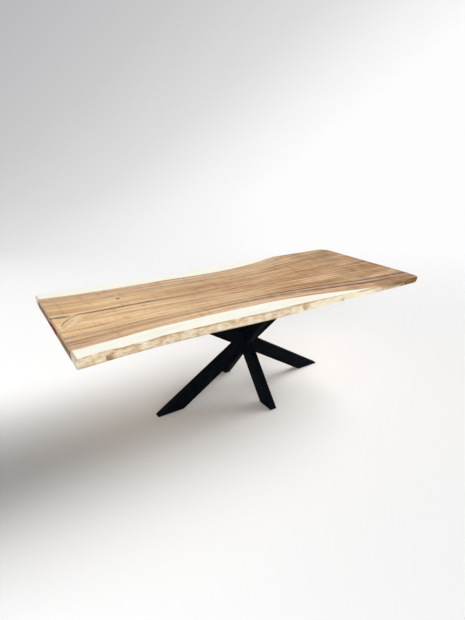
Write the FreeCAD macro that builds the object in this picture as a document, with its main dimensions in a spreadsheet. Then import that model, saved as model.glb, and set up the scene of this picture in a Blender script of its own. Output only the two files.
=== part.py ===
import FreeCAD, Part
import math
import os

import Sketcher

# Live-edge slab table on a steel spider base, in millimetres.
# +X runs along the slab, +Y to its back edge, +Z up. The origin is on the floor under the slab's middle.
os.makedirs("parts", exist_ok=True)
doc = FreeCAD.newDocument("tree_trunk_table")

# Driving dimensions.
# The live edges are measured from the slab's long axis at seven stations, evenly spaced from left to right.
STATIONS = 7
SIZES = {
    "table_height": 775,
    "slab_length": 2400,
    "slab_thickness": 55,
    "planing_allowance": 5,
    "left_corner_radius": 10,
    "front_right_corner_radius": 35,
    "back_right_corner_radius": 70,
    "end_check_from_axis": 66,
    "end_check_length": 105,
    "end_check_width": 16,
    "end_check_depth": 30,
    "long_check_from_end": 420,
    "long_check_from_axis": 36,
    "long_check_length": 640,
    "long_check_width": 9,
    "long_check_depth": 18,
    "long_check_angle": -3.5,
    "base_shift_x": 20,
    "base_shift_y": -30,
    "hub_height": 375,
    "long_reach": 600,
    "cross_reach": 295,
    "tube_depth": 100,
    "tube_width": 50,
    "tube_wall": 3,
    "tube_corner_radius": 6,
    "floor_gap": 4,
    "mount_plate_thickness": 6,
    "mount_plate_flange": 45,
    "mount_plate_overhang": 15,
    "mount_plate_corner_radius": 10,
    "mount_hole_diameter": 12,
    "mount_hole_from_end": 25,
    "bolt_diameter": 8,
    "bolt_head_across_flats": 13,
    "bolt_head_height": 5.3,
    "bolt_engagement": 20,
    "washer_diameter": 24,
    "washer_thickness": 2,
    "washer_clearance": 0.2,
    "insert_diameter": 14,
    "insert_length": 25,
    "insert_bottom_space": 2,
    "foot_plate_thickness": 5,
    "stud_diameter": 10,
    "stud_length": 33,
    "stud_tip_chamfer": 1,
    "stud_hole_clearance": 0.5,
    "thread_clearance": 0.05,
    "nut_across_flats": 17,
    "nut_height": 8,
    "collar_across_flats": 15,
    "collar_height": 3,
    "pivot_diameter": 8,
    "pivot_height": 3.5,
    "pivot_clearance": 0.05,
    "pad_diameter": 30,
    "pad_height": 6,
    "pad_chamfer": 1.5,
}
LIVE_EDGES = {
    "front_top": (484, 458, 471, 482, 505, 523, 523),
    "front_bottom": (486, 461, 472, 494, 492, 501, 508),
    "back_top": (525, 507, 478, 476, 487, 478, 464),
    "back_bottom": (519, 500, 484, 470, 492, 483, 470),
}
for edge, reaches in LIVE_EDGES.items():
    for station, reach in enumerate(reaches, start=1):
        SIZES[f"{edge}_at_{station}"] = reach

sheet = doc.addObject("Spreadsheet::Sheet", "Sizes")
for row, (alias, value) in enumerate(SIZES.items(), start=1):
    sheet.set(f"A{row}", alias)
    sheet.set(f"B{row}", str(value))
    sheet.setAlias(f"B{row}", alias)
doc.recompute()

# Places worked out from the driving dimensions.
HUB = "Sizes.hub_height"
UNDERSIDE = "(Sizes.table_height - Sizes.slab_thickness)"
ARM_TOP = "(Sizes.table_height - Sizes.slab_thickness - Sizes.mount_plate_thickness)"
FOOT_PLATE_BOTTOM = "(Sizes.pad_height + Sizes.collar_height)"
FOOT_PLATE_TOP = "(Sizes.pad_height + Sizes.collar_height + Sizes.foot_plate_thickness)"
PIVOT_BOTTOM = "(Sizes.pad_height - Sizes.pivot_height)"
LONG = "Sizes.long_reach"
CROSS = "Sizes.cross_reach"
nodes = []


# Document helpers.
def new_body(label, place=("0", "0", "0")):
    """An empty body with its label, standing at the place that three expressions give."""
    body = doc.addObject("PartDesign::Body", label)
    body.Label = label
    for axis, expression in zip("xyz", place):
        body.setExpression(f"Placement.Base.{axis}", expression)
    nodes.append(body)
    return body


def new_sketch(body, plane, name, offset="0"):
    """A sketch on one of the body's origin planes, moved along the plane's normal."""
    sketch = body.newObject("Sketcher::SketchObject", f"{body.Label}_{name}")
    support = [f for f in body.Origin.OriginFeatures if f.Role == plane][0]
    sketch.AttachmentSupport = [(support, "")]
    sketch.MapMode = "FlatFace"
    sketch.setExpression("AttachmentOffset.Base.z", offset)
    return sketch


def fix_point(sketch, geometry, vertex, place):
    """Dimensions one vertex from the sketch's origin in both directions."""
    drawn = sketch.getPoint(geometry, vertex)
    dimensions = (("DistanceX", drawn.x), ("DistanceY", drawn.y))
    for (kind, value), expression in zip(dimensions, place):
        constraint = sketch.addConstraint(Sketcher.Constraint(kind, -1, 1, geometry, vertex, value))
        sketch.setExpression(f"Constraints[{constraint}]", expression)


def polygon(sketch, corners):
    """A closed outline of straight lines through the given corners, each a pair of expressions."""
    count = len(corners)
    turn = 2 * math.pi / count
    ring = [FreeCAD.Vector(math.cos(i * turn), math.sin(i * turn), 0) for i in range(count)]
    first = sketch.GeometryCount
    for i in range(count):
        sketch.addGeometry(Part.LineSegment(ring[i], ring[(i + 1) % count]), False)
    for i, corner in enumerate(corners):
        following = first + (i + 1) % count
        sketch.addConstraint(Sketcher.Constraint("Coincident", first + i, 2, following, 1))
        fix_point(sketch, first + i, 1, corner)


def circles(sketch, centres, diameter):
    """Equal circles about the given centres."""
    for centre in centres:
        circle = Part.Circle(FreeCAD.Vector(0, 0, 0), FreeCAD.Vector(0, 0, 1), 1)
        geometry = sketch.addGeometry(circle, False)
        fix_point(sketch, geometry, 3, centre)
        size = sketch.addConstraint(Sketcher.Constraint("Diameter", geometry, 2.0))
        sketch.setExpression(f"Constraints[{size}]", diameter)


def pad(body, sketch, length, symmetric=False, reverse=False):
    """Raises a sketch by a length, to one side of its plane or to both."""
    feature = body.newObject("PartDesign::Pad", f"{sketch.Name}_pad")
    feature.Profile = sketch
    feature.SideType = "Symmetric" if symmetric else "One side"
    feature.Reversed = reverse
    feature.setExpression("Length", length)
    doc.recompute()
    return feature


def pocket(body, sketch, length, symmetric=False, reverse=False):
    """Cuts a sketch out by a length, and stops the build if nothing was cut."""
    before = body.Tip.Shape.Volume
    feature = body.newObject("PartDesign::Pocket", f"{sketch.Name}_pocket")
    feature.Profile = sketch
    feature.SideType = "Symmetric" if symmetric else "One side"
    feature.Reversed = reverse
    feature.setExpression("Length", length)
    doc.recompute()
    if not feature.Shape.Volume < before:
        raise ValueError(f"{feature.Name} cuts nothing")
    return feature


def fillet(body, name, edges, radius):
    """Rounds the edges of the body's last feature whose numbers are given."""
    base = body.Tip
    feature = body.newObject("PartDesign::Fillet", f"{body.Label}_{name}")
    feature.Base = (base, [f"Edge{number}" for number in edges])
    feature.setExpression("Radius", radius)
    doc.recompute()
    return feature


def upright_edges(body, at_x):
    """Numbers of the edges that stand at one end of the slab, the front one first."""
    found = []
    for number, edge in enumerate(body.Tip.Shape.Edges, start=1):
        box = edge.BoundBox
        stands = box.ZLength > 0.9 * sheet.slab_thickness and box.YLength < sheet.slab_thickness
        if stands and abs(edge.CenterOfMass.x - at_x) < 1:
            found.append((edge.CenterOfMass.y, number))
    return [number for _, number in sorted(found)]


def tube_edges(body, run, rise):
    """Numbers of the edges that lie along a tube, by its run and rise in the XZ or YZ plane."""
    found = []
    for number, edge in enumerate(body.Tip.Shape.Edges, start=1):
        way = edge.Vertexes[-1].Point - edge.Vertexes[0].Point
        across = way.x + way.y
        if abs(across * rise - way.z * run) < 1e-6 * edge.Length * (abs(run) + abs(rise)):
            found.append(number)
    return found


# The slab: a loft through upright sections, planed flat above and below, with bored and filled faces.
# Each section is cut from rough plank, so the live edges run on past both planed faces.
def live_edge(side, station, height):
    """The reach of a live edge at a height over the slab's underside, past its faces too."""
    top = f"Sizes.{side}_top_at_{station}"
    bottom = f"Sizes.{side}_bottom_at_{station}"
    return f"({bottom} + ({top} - {bottom}) * ({height}) / Sizes.slab_thickness)"


def slab_section(body, station):
    """One upright section of the rough slab: flat faces, and a front and a back edge that lean."""
    offset = f"Sizes.slab_length * ({station - 1} / {STATIONS - 1} - 0.5)"
    sketch = new_sketch(body, "YZ_Plane", f"section_{station}", offset)
    low = "-Sizes.planing_allowance"
    high = "(Sizes.slab_thickness + Sizes.planing_allowance)"
    polygon(
        sketch,
        [
            (f"-{live_edge('front', station, low)}", low),
            (live_edge("back", station, low), low),
            (live_edge("back", station, high), high),
            (f"-{live_edge('front', station, high)}", high),
        ],
    )
    return sketch


def plank_area(sketch):
    """A rectangle well clear of the slab's outline, for planing."""
    half_length = "Sizes.slab_length"
    half_width = "Sizes.slab_length / 2"
    polygon(
        sketch,
        [
            (f"-{half_length}", f"-{half_width}"),
            (half_length, f"-{half_width}"),
            (half_length, half_width),
            (f"-{half_length}", half_width),
        ],
    )


def end_check(sketch):
    """The short check: a wedge that opens at the slab's left end."""
    end = "-Sizes.slab_length / 2"
    axis = "Sizes.end_check_from_axis"
    polygon(
        sketch,
        [
            (end, f"{axis} - Sizes.end_check_width / 2"),
            (f"{end} + Sizes.end_check_length", f"{axis} - Sizes.end_check_width"),
            (end, f"{axis} + Sizes.end_check_width / 2"),
        ],
    )


def long_check(sketch):
    """The long check: a thin lens beside the slab's axis, turned a little off it."""
    tip = "Sizes.long_check_length / 2"
    belly = "Sizes.long_check_length / 6"
    side = "Sizes.long_check_width / 2"
    polygon(
        sketch,
        [
            (f"-{tip}", "0"),
            (f"-{belly}", f"-{side}"),
            (belly, f"-{side}"),
            (tip, "0"),
            (belly, side),
            (f"-{belly}", side),
        ],
    )
    sketch.setExpression("AttachmentOffset.Base.x", "Sizes.long_check_from_end - Sizes.slab_length / 2")
    sketch.setExpression("AttachmentOffset.Base.y", "Sizes.long_check_from_axis")
    sketch.setExpression("AttachmentOffset.Rotation.Angle", "Sizes.long_check_angle")


CHECKS = {"end_check": end_check, "long_check": long_check}

slab = new_body("slab", ("0", "0", UNDERSIDE))
sections = [slab_section(slab, station) for station in range(1, STATIONS + 1)]
plank = slab.newObject("PartDesign::AdditiveLoft", "rough_plank")
plank.Profile = sections[0]
plank.Sections = sections[1:]
doc.recompute()

planed_top = new_sketch(slab, "XY_Plane", "planed_top", "Sizes.slab_thickness")
plank_area(planed_top)
pocket(slab, planed_top, "Sizes.planing_allowance * 2", reverse=True)
planed_bottom = new_sketch(slab, "XY_Plane", "planed_bottom")
plank_area(planed_bottom)
pocket(slab, planed_bottom, "Sizes.planing_allowance * 2")

half_slab = sheet.slab_length / 2
fillet(slab, "left_corners", upright_edges(slab, -half_slab), "Sizes.left_corner_radius")
fillet(slab, "front_right_corner", upright_edges(slab, half_slab)[:1], "Sizes.front_right_corner_radius")
fillet(slab, "back_right_corner", upright_edges(slab, half_slab)[-1:], "Sizes.back_right_corner_radius")

for name, outline in CHECKS.items():
    opening = new_sketch(slab, "XY_Plane", name, "Sizes.slab_thickness")
    outline(opening)
    pocket(slab, opening, f"Sizes.{name}_depth")


# The resin fills of the two checks, flush with the planed top.
for name, outline in CHECKS.items():
    fill = new_body(f"{name}_resin", ("0", "0", UNDERSIDE))
    shape = new_sketch(fill, "XY_Plane", "outline", "Sizes.slab_thickness")
    outline(shape)
    pad(fill, shape, f"Sizes.{name}_depth", reverse=True)


# The base: two crosses of rectangular tube that share a hub, one along X and one along Y.
# Every outline is drawn in the cross's own upright plane, as distance from the hub's axis and height.
def slant(reach):
    """The length of a tube's axis from the floor to the hub."""
    return f"sqrt({HUB} ^ 2 + {reach} ^ 2)"


def axis_at(reach, height):
    """How far a tube's axis is from the hub's axis at a height, on its foot's side."""
    return f"{reach} * (1 - ({height}) / {HUB})"


def half_run(reach, inset):
    """Half the level cut through a tube, less an inset on each face."""
    return f"(Sizes.tube_depth / 2 - {inset}) * {slant(reach)} / {HUB}"


def half_rise(reach, inset):
    """Half the upright cut through a tube, less an inset on each face."""
    return f"(Sizes.tube_depth / 2 - {inset}) * {slant(reach)} / {reach}"


def whole_tube(inset):
    """The unbroken tube of the long cross: left foot to right top."""
    half = half_run(LONG, inset)
    foot = axis_at(LONG, "Sizes.floor_gap")
    top = axis_at(LONG, ARM_TOP)
    return [
        (f"-({foot}) - {half}", "Sizes.floor_gap"),
        (f"-({foot}) + {half}", "Sizes.floor_gap"),
        (f"-({top}) + {half}", ARM_TOP),
        (f"-({top}) - {half}", ARM_TOP),
    ]


def butted_tube(side, end):
    """Half of the other tube of the long cross, from one end to the unbroken tube's face.

    side is 1 on the right and -1 on the left; the right half ends at the foot, the left at the top.
    """

    def outline(inset):
        half = half_run(LONG, inset)
        centre = axis_at(LONG, end)
        near = f"{inset} / 2"
        far = f"(Sizes.tube_depth - {inset}) / 2"
        run = f"{slant(LONG)} / {HUB}"
        rise = f"{slant(LONG)} / {LONG}"
        return [
            (f"{centre} - {half} * {side}", end),
            (f"{centre} + {half} * {side}", end),
            (f"{side} * {far} * {run}", f"{HUB} - {side} * {near} * {rise}"),
            (f"{side} * {near} * {run}", f"{HUB} - {side} * {far} * {rise}"),
        ]

    return outline


def crossing_tube(side, level, end):
    """Half of a tube of the short cross, mitred at the hub's height.

    side is 1 at the back and -1 at the front; level is -1 for a leg and 1 for an arm.
    """

    def outline(inset):
        half = half_run(CROSS, inset)
        centre = f"{-level} * {axis_at(CROSS, end)}"
        return [
            (f"{side} * ({centre} + {half})", end),
            (f"{side} * ({centre} - {half})", end),
            ("0", f"{HUB} + {level} * {half_rise(CROSS, inset)}"),
            ("0", HUB),
            (f"{side} * {half}", HUB),
        ]

    return outline


def tube(label, plane, outline, run, rise, copes=()):
    """A hollow tube with rounded corners, coped over the outlines of the tubes that it meets."""
    body = new_body(label, ("Sizes.base_shift_x", "Sizes.base_shift_y", "0"))
    outside = new_sketch(body, plane, "outside")
    polygon(outside, outline("0"))
    pad(body, outside, "Sizes.tube_width", symmetric=True)
    fillet(body, "corners", tube_edges(body, run, rise), "Sizes.tube_corner_radius")
    inside = new_sketch(body, plane, "inside")
    polygon(inside, outline("Sizes.tube_wall"))
    pocket(body, inside, "Sizes.tube_width - 2 * Sizes.tube_wall", symmetric=True)
    for number, met in enumerate(copes, start=1):
        cope = new_sketch(body, "XZ_Plane", f"cope_{number}")
        polygon(cope, met("0"))
        pocket(body, cope, "Sizes.tube_width", symmetric=True)
    return body


right_leg_outline = butted_tube(1, "Sizes.floor_gap")
left_arm_outline = butted_tube(-1, ARM_TOP)
tube("long_strut", "XZ_Plane", whole_tube, sheet.long_reach, sheet.hub_height)
tube("right_leg", "XZ_Plane", right_leg_outline, -sheet.long_reach, sheet.hub_height)
tube("left_arm", "XZ_Plane", left_arm_outline, -sheet.long_reach, sheet.hub_height)

for place, side in (("front", -1), ("back", 1)):
    leg = crossing_tube(side, -1, "Sizes.floor_gap")
    arm = crossing_tube(side, 1, ARM_TOP)
    run = side * sheet.cross_reach
    tube(f"{place}_leg", "YZ_Plane", leg, -run, sheet.hub_height, (whole_tube, right_leg_outline))
    tube(f"{place}_arm", "YZ_Plane", arm, run, sheet.hub_height, (whole_tube, left_arm_outline))


# The mounting plates on the tops of the arms, wider than the tubes so that bolts reach past them.
# Their holes are wider than the bolts, because the slab swells and shrinks across its grain.
SIDES = {"left": (-1, 0), "right": (1, 0), "front": (0, -1), "back": (0, 1)}


def plate_half_sizes(place):
    """Half the mounting plate's size along X and along Y."""
    reach = LONG if SIDES[place][0] else CROSS
    along = f"({half_run(reach, 0)} + Sizes.mount_plate_overhang)"
    across = "(Sizes.tube_width / 2 + Sizes.mount_plate_flange)"
    return (along, across) if SIDES[place][0] else (across, along)


def on_the_base(place, height, level):
    """Where a tube's axis is at a height, in the table's frame: legs have level 1, arms -1."""
    x, y = SIDES[place]
    x_place = f"Sizes.base_shift_x + {x * level} * {axis_at(LONG, height)}"
    y_place = f"Sizes.base_shift_y + {y * level} * {axis_at(CROSS, height)}"
    return x_place, y_place


def mounting_holes(place):
    """The centres of the plate's holes from its own middle: beside the tube, clear of the ends."""
    reach = LONG if SIDES[place][0] else CROSS
    along = f"({half_run(reach, 0)} + Sizes.mount_plate_overhang - Sizes.mount_hole_from_end)"
    across = "(Sizes.tube_width / 2 + Sizes.mount_plate_flange / 2)"
    x, y = (along, across) if SIDES[place][0] else (across, along)
    return [(f"{i} * {x}", f"{j} * {y}") for i in (-1, 1) for j in (-1, 1)]


for place in SIDES:
    plate = new_body(f"mounting_plate_{place}", (*on_the_base(place, ARM_TOP, -1), ARM_TOP))
    x, y = plate_half_sizes(place)
    blank = new_sketch(plate, "XY_Plane", "blank")
    polygon(blank, [(f"-{x}", f"-{y}"), (x, f"-{y}"), (x, y), (f"-{x}", y)])
    pad(plate, blank, "Sizes.mount_plate_thickness")
    corners = [n for n, e in enumerate(plate.Shape.Edges, start=1) if e.BoundBox.ZLength > 1e-6]
    fillet(plate, "corners", corners, "Sizes.mount_plate_corner_radius")
    drilling = new_sketch(plate, "XY_Plane", "holes")
    circles(drilling, mounting_holes(place), "Sizes.mount_hole_diameter")
    pocket(plate, drilling, "Sizes.mount_plate_thickness", reverse=True)


# Blind holes in the slab's underside for the threaded inserts, over every hole of the plates.
def hole_places():
    """The centres of all mounting holes in the table's frame."""
    found = []
    for place in SIDES:
        plate_x, plate_y = on_the_base(place, ARM_TOP, -1)
        for x, y in mounting_holes(place):
            found.append((f"{plate_x} + {x}", f"{plate_y} + {y}"))
    return found


insert_holes = new_sketch(slab, "XY_Plane", "insert_holes")
circles(insert_holes, hole_places(), "Sizes.insert_diameter")
pocket(slab, insert_holes, "Sizes.insert_length + Sizes.insert_bottom_space", reverse=True)


# The fasteners: one of each kind is made at the origin and copied to every place as a group.
def cylinder(name, diameter, height, base="0"):
    """An upright cylinder on the Z axis."""
    shape = doc.addObject("Part::Cylinder", name)
    shape.setExpression("Radius", f"({diameter}) / 2")
    shape.setExpression("Height", height)
    shape.setExpression("Placement.Base.z", base)
    return shape


def hexagon(name, across_flats, height, base="0"):
    """An upright six-sided prism on the Z axis, by its width across flats."""
    shape = doc.addObject("Part::Prism", name)
    shape.Polygon = 6
    shape.setExpression("Circumradius", f"({across_flats}) / sqrt(3)")
    shape.setExpression("Height", height)
    shape.setExpression("Placement.Base.z", base)
    return shape


def combined(kind, name, base, tool):
    """Two solids joined or cut, by the kind of the boolean."""
    result = doc.addObject(kind, name)
    result.Base = base
    result.Tool = tool
    doc.recompute()
    return result


def grouped(label, pattern, sketch, height):
    """Copies of one solid at the centres of a sketch's circles, as one group."""
    solids = []
    for circle in sketch.Geometry:
        copy = pattern.Shape.copy()
        copy.translate(FreeCAD.Vector(circle.Center.x, circle.Center.y, height))
        solids.append(copy)
    group = doc.addObject("Part::Feature", label)
    group.Label = label
    group.Shape = Part.makeCompound(solids)
    group.Placement = FreeCAD.Placement()
    nodes.append(group)


underside_height = sheet.table_height - sheet.slab_thickness
plate_bottom_height = underside_height - sheet.mount_plate_thickness
insert_blank = cylinder("insert_blank", "Sizes.insert_diameter", "Sizes.insert_length")
insert_bore = cylinder("insert_bore", "Sizes.bolt_diameter + 2 * Sizes.thread_clearance", "Sizes.insert_length")
insert = combined("Part::Cut", "insert", insert_blank, insert_bore)
grouped("threaded_inserts", insert, insert_holes, underside_height)

washer_blank = cylinder("washer_blank", "Sizes.washer_diameter", "Sizes.washer_thickness")
washer_bore = cylinder(
    "washer_bore", "Sizes.bolt_diameter + 2 * Sizes.washer_clearance", "Sizes.washer_thickness"
)
washer = combined("Part::Cut", "washer", washer_blank, washer_bore)
grouped("mounting_washers", washer, insert_holes, plate_bottom_height - sheet.washer_thickness)

bolt_head = hexagon(
    "bolt_head", "Sizes.bolt_head_across_flats", "Sizes.bolt_head_height", "-Sizes.bolt_head_height"
)
bolt_shank = cylinder(
    "bolt_shank",
    "Sizes.bolt_diameter",
    "Sizes.washer_thickness + Sizes.mount_plate_thickness + Sizes.bolt_engagement",
)
bolt = combined("Part::Fuse", "bolt", bolt_head, bolt_shank)
grouped("mounting_bolts", bolt, insert_holes, plate_bottom_height - sheet.washer_thickness)


# The feet: a plate closes each leg inside its walls, with a nut welded on it for the levelling glide.
def foot_plate(place):
    """A plate cut to the slant of the leg's inner faces, drilled for the glide's stud."""
    x, y = SIDES[place]
    reach = LONG if x else CROSS
    half = half_run(reach, "Sizes.tube_wall")
    low = axis_at(reach, FOOT_PLATE_BOTTOM)
    high = axis_at(reach, FOOT_PLATE_TOP)
    body = new_body(f"foot_plate_{place}", ("Sizes.base_shift_x", "Sizes.base_shift_y", "0"))
    blank = new_sketch(body, "XZ_Plane" if x else "YZ_Plane", "blank")
    side = x + y
    polygon(
        blank,
        [
            (f"{side} * ({low} - {half})", FOOT_PLATE_BOTTOM),
            (f"{side} * ({low} + {half})", FOOT_PLATE_BOTTOM),
            (f"{side} * ({high} + {half})", FOOT_PLATE_TOP),
            (f"{side} * ({high} - {half})", FOOT_PLATE_TOP),
        ],
    )
    pad(body, blank, "Sizes.tube_width - 2 * Sizes.tube_wall", symmetric=True)
    hole = new_sketch(body, "XY_Plane", "stud_hole", FOOT_PLATE_TOP)
    centre = (
        f"{x} * {axis_at(LONG, FOOT_PLATE_BOTTOM)}",
        f"{y} * {axis_at(CROSS, FOOT_PLATE_BOTTOM)}",
    )
    circles(hole, [centre], "Sizes.stud_diameter + 2 * Sizes.stud_hole_clearance")
    pocket(body, hole, "Sizes.foot_plate_thickness")


def glide_pad(place):
    """A round nylon pad with a socket in its top for the stud's pivot."""
    body = new_body(f"glide_pad_{place}", (*on_the_base(place, FOOT_PLATE_BOTTOM, 1), "0"))
    profile = new_sketch(body, "XZ_Plane", "profile")
    socket = "Sizes.pivot_diameter / 2 + Sizes.pivot_clearance"
    rim = "Sizes.pad_diameter / 2"
    polygon(
        profile,
        [
            ("0", "0"),
            (f"{rim} - Sizes.pad_chamfer", "0"),
            (rim, "Sizes.pad_chamfer"),
            (rim, "Sizes.pad_height"),
            (socket, "Sizes.pad_height"),
            (socket, PIVOT_BOTTOM),
            ("0", PIVOT_BOTTOM),
        ],
    )
    turned(body, profile)


def glide_stud(place):
    """A threaded stud with a spanner collar, standing on its pivot in the pad."""
    body = new_body(f"glide_stud_{place}", (*on_the_base(place, FOOT_PLATE_BOTTOM, 1), "0"))
    profile = new_sketch(body, "XZ_Plane", "profile")
    pivot = "Sizes.pivot_diameter / 2"
    shank = "Sizes.stud_diameter / 2"
    tip = f"{FOOT_PLATE_BOTTOM} + Sizes.stud_length"
    polygon(
        profile,
        [
            ("0", PIVOT_BOTTOM),
            (pivot, PIVOT_BOTTOM),
            (pivot, "Sizes.pad_height"),
            (shank, "Sizes.pad_height"),
            (shank, f"{tip} - Sizes.stud_tip_chamfer"),
            (f"{shank} - Sizes.stud_tip_chamfer", tip),
            ("0", tip),
        ],
    )
    turned(body, profile)
    collar = new_sketch(body, "XY_Plane", "collar", "Sizes.pad_height")
    corner = "Sizes.collar_across_flats / sqrt(3)"
    flat = "Sizes.collar_across_flats / 2"
    polygon(
        collar,
        [
            (corner, "0"),
            (f"{corner} / 2", flat),
            (f"-{corner} / 2", flat),
            (f"-{corner}", "0"),
            (f"-{corner} / 2", f"-{flat}"),
            (f"{corner} / 2", f"-{flat}"),
        ],
    )
    pad(body, collar, "Sizes.collar_height")


def turned(body, profile):
    """Turns a profile all the way round the body's own Z axis."""
    feature = body.newObject("PartDesign::Revolution", f"{profile.Name}_turned")
    feature.Profile = profile
    feature.ReferenceAxis = (profile, ["V_Axis"])
    feature.Angle = 360
    doc.recompute()


for place in SIDES:
    foot_plate(place)
    glide_stud(place)
    glide_pad(place)

nut_blank = hexagon("nut_blank", "Sizes.nut_across_flats", "Sizes.nut_height")
nut_bore = cylinder("nut_bore", "Sizes.stud_diameter + 2 * Sizes.thread_clearance", "Sizes.nut_height")
nut = combined("Part::Cut", "nut", nut_blank, nut_bore)
nut_places = doc.addObject("Sketcher::SketchObject", "nut_places")
circles(nut_places, [on_the_base(place, FOOT_PLATE_BOTTOM, 1) for place in SIDES], "Sizes.stud_diameter")
doc.recompute()
nut_height = sheet.pad_height + sheet.collar_height + sheet.foot_plate_thickness
grouped("weld_nuts", nut, nut_places, nut_height)

# Every object must be sound before anything is written.
doc.recompute()
for item in doc.Objects:
    if "Invalid" in item.State or "Error" in item.State:
        raise ValueError(f"{item.Name} failed: {item.State}")
for node in nodes:
    if node.Shape.isNull() or not node.Shape.isValid():
        raise ValueError(f"{node.Label} has no sound shape")
for node in nodes:
    node.Shape.exportStep(os.path.join("parts", f"{node.Label}.step"))
    solids = len(node.Shape.Solids)
    print(f"{node.Label}: {solids} solid(s), {node.Shape.Volume / 1000:.2f} cm3")
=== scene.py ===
import math

import bpy
import numpy as np
from mathutils import Euler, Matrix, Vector
from mathutils.geometry import convex_hull_2d


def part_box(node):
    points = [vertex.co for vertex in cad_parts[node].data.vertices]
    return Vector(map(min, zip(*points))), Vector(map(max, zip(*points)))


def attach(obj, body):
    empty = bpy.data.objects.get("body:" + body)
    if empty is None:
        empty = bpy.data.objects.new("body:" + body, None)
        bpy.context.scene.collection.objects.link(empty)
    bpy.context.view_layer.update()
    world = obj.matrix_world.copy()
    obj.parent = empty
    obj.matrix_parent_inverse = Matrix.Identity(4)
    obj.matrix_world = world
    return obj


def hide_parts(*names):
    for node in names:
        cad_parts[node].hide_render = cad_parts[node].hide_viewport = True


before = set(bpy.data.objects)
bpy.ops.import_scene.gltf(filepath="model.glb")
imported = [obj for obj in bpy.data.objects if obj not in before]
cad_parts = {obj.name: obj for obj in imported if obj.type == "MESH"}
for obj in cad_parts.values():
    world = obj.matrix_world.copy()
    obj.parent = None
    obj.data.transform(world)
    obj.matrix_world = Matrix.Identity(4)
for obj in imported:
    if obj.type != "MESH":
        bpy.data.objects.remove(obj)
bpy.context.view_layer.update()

# The steel spider: rectangular tubes, 100 by 50 mm, cut on the slant and welded where they cross.
# They are powder coated in one go after welding, so tubes, plates and beads share one black skin.
TUBES = ("long_strut", "right_leg", "left_arm", "front_leg", "front_arm", "back_leg", "back_arm")


def linear(code):
    """A hex sRGB colour as linear RGBA: c / 12.92 up to 0.04045, ((c + 0.055) / 1.055) ** 2.4 above."""
    channels = np.array([int(code[at:at + 2], 16) for at in (1, 3, 5)]) / 255
    values = np.where(channels <= 0.04045, channels / 12.92, ((channels + 0.055) / 1.055) ** 2.4)
    return (*values.tolist(), 1.0)


def add_node(material, kind, inputs, stops=(), **settings):
    """Adds a shader node with its settings, its inputs and, on a ramp, its (position, colour) stops.

    An input is named by its label or number. Its value is a number, a hex colour, a socket to link from,
    or a node, which stands for its first open output.
    """
    tree = material.node_tree
    made = tree.nodes.new("ShaderNode" + kind)
    for name, value in settings.items():
        setattr(made, name, value)
    for key, value in inputs.items():
        named = [s for s in made.inputs if s.enabled and s.name == key]
        socket = named[0] if named else made.inputs[key]
        if isinstance(value, bpy.types.Node):
            value = [s for s in value.outputs if s.enabled][0]
        if isinstance(value, bpy.types.NodeSocket):
            tree.links.new(value, socket)
        else:
            socket.default_value = linear(value) if isinstance(value, str) else value
    while stops and len(made.color_ramp.elements) < len(stops):
        made.color_ramp.elements.new(1.0)
    for number, (position, code) in enumerate(stops):
        made.color_ramp.elements[number].position = position
        made.color_ramp.elements[number].color = linear(code)
    return made


def new_material(name):
    """An empty node material."""
    material = bpy.data.materials.new(name)
    material.use_nodes = True
    material.node_tree.nodes.clear()
    return material


def per_metre(*millimetres):
    """Pattern sizes in millimetres as a scale on coordinates in metres."""
    return tuple(1000 / size for size in millimetres)


def powder_coat():
    """Black polyester powder coat, baked on: matt, with an orange-peel skin that breaks up highlights."""
    coat = new_material("black_powder_coat")
    place = add_node(coat, "TexCoord", {}).outputs["Object"]
    peel = add_node(coat, "TexNoise", {"Vector": place, "Scale": per_metre(2.2)[0], "Detail": 2.0})
    cloud = add_node(coat, "TexNoise", {"Vector": place, "Scale": per_metre(60)[0], "Detail": 4.0})
    tint = add_node(coat, "ValToRGB", {"Fac": cloud}, [(0.3, "#05070A"), (0.7, "#0E1219")])
    gloss = add_node(
        coat, "MapRange", {"Value": cloud, "From Min": 0.3, "From Max": 0.7, "To Min": 0.5, "To Max": 0.64}
    )
    skin = add_node(coat, "Bump", {"Height": peel, "Strength": 0.25, "Distance": 0.0004})
    shade = add_node(coat, "BsdfPrincipled", {
        "Base Color": tint, "Roughness": gloss, "Normal": skin, "IOR": 1.5, "Specular IOR Level": 0.02,
    })
    add_node(coat, "OutputMaterial", {"Surface": shade})
    return coat


def dress(nodes, material):
    """Gives CAD nodes that keep their own shape a new finish."""
    for name in nodes:
        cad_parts[name].data.materials.clear()
        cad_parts[name].data.materials.append(material)


coat = powder_coat()
dress(TUBES, coat)

# The mounting plates: flame-cut steel, 6 mm thick, welded on the tops of the arms.
# The slab is bolted up through their oversize holes, so that it can swell and shrink.
SIDES = ("left", "right", "front", "back")
dress([f"mounting_plate_{side}" for side in SIDES], coat)

# The weld beads: one run round the top of each arm under its plate, one where each half tube butts on
# the long strut, and four upright runs beside the hub. They are laid by hand and coated with the rest.
BEAD = 0.0028
BEAD_SIDES = 8
RIPPLE = 0.0042
STEPS_PER_RIPPLE = 4
PINCH = 0.14
UPRIGHT_RUN = 0.055
CUT_TOLERANCE = 0.0002
LEVEL_TOLERANCE = 0.00001
ARM_OF = {"left": "left_arm", "right": "long_strut", "front": "front_arm", "back": "back_arm"}


def quads_between(index, wrap_rows=False, wrap_columns=False):
    """The quads between neighbours of a grid of point numbers, joined round where it wraps."""
    if wrap_columns:
        index = np.concatenate([index, index[:, :1]], axis=1)
    if wrap_rows:
        index = np.concatenate([index, index[:1]], axis=0)
    corners = [index[:-1, :-1], index[:-1, 1:], index[1:, 1:], index[1:, :-1]]
    return np.stack(corners, axis=-1).reshape(-1, 4)


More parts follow.
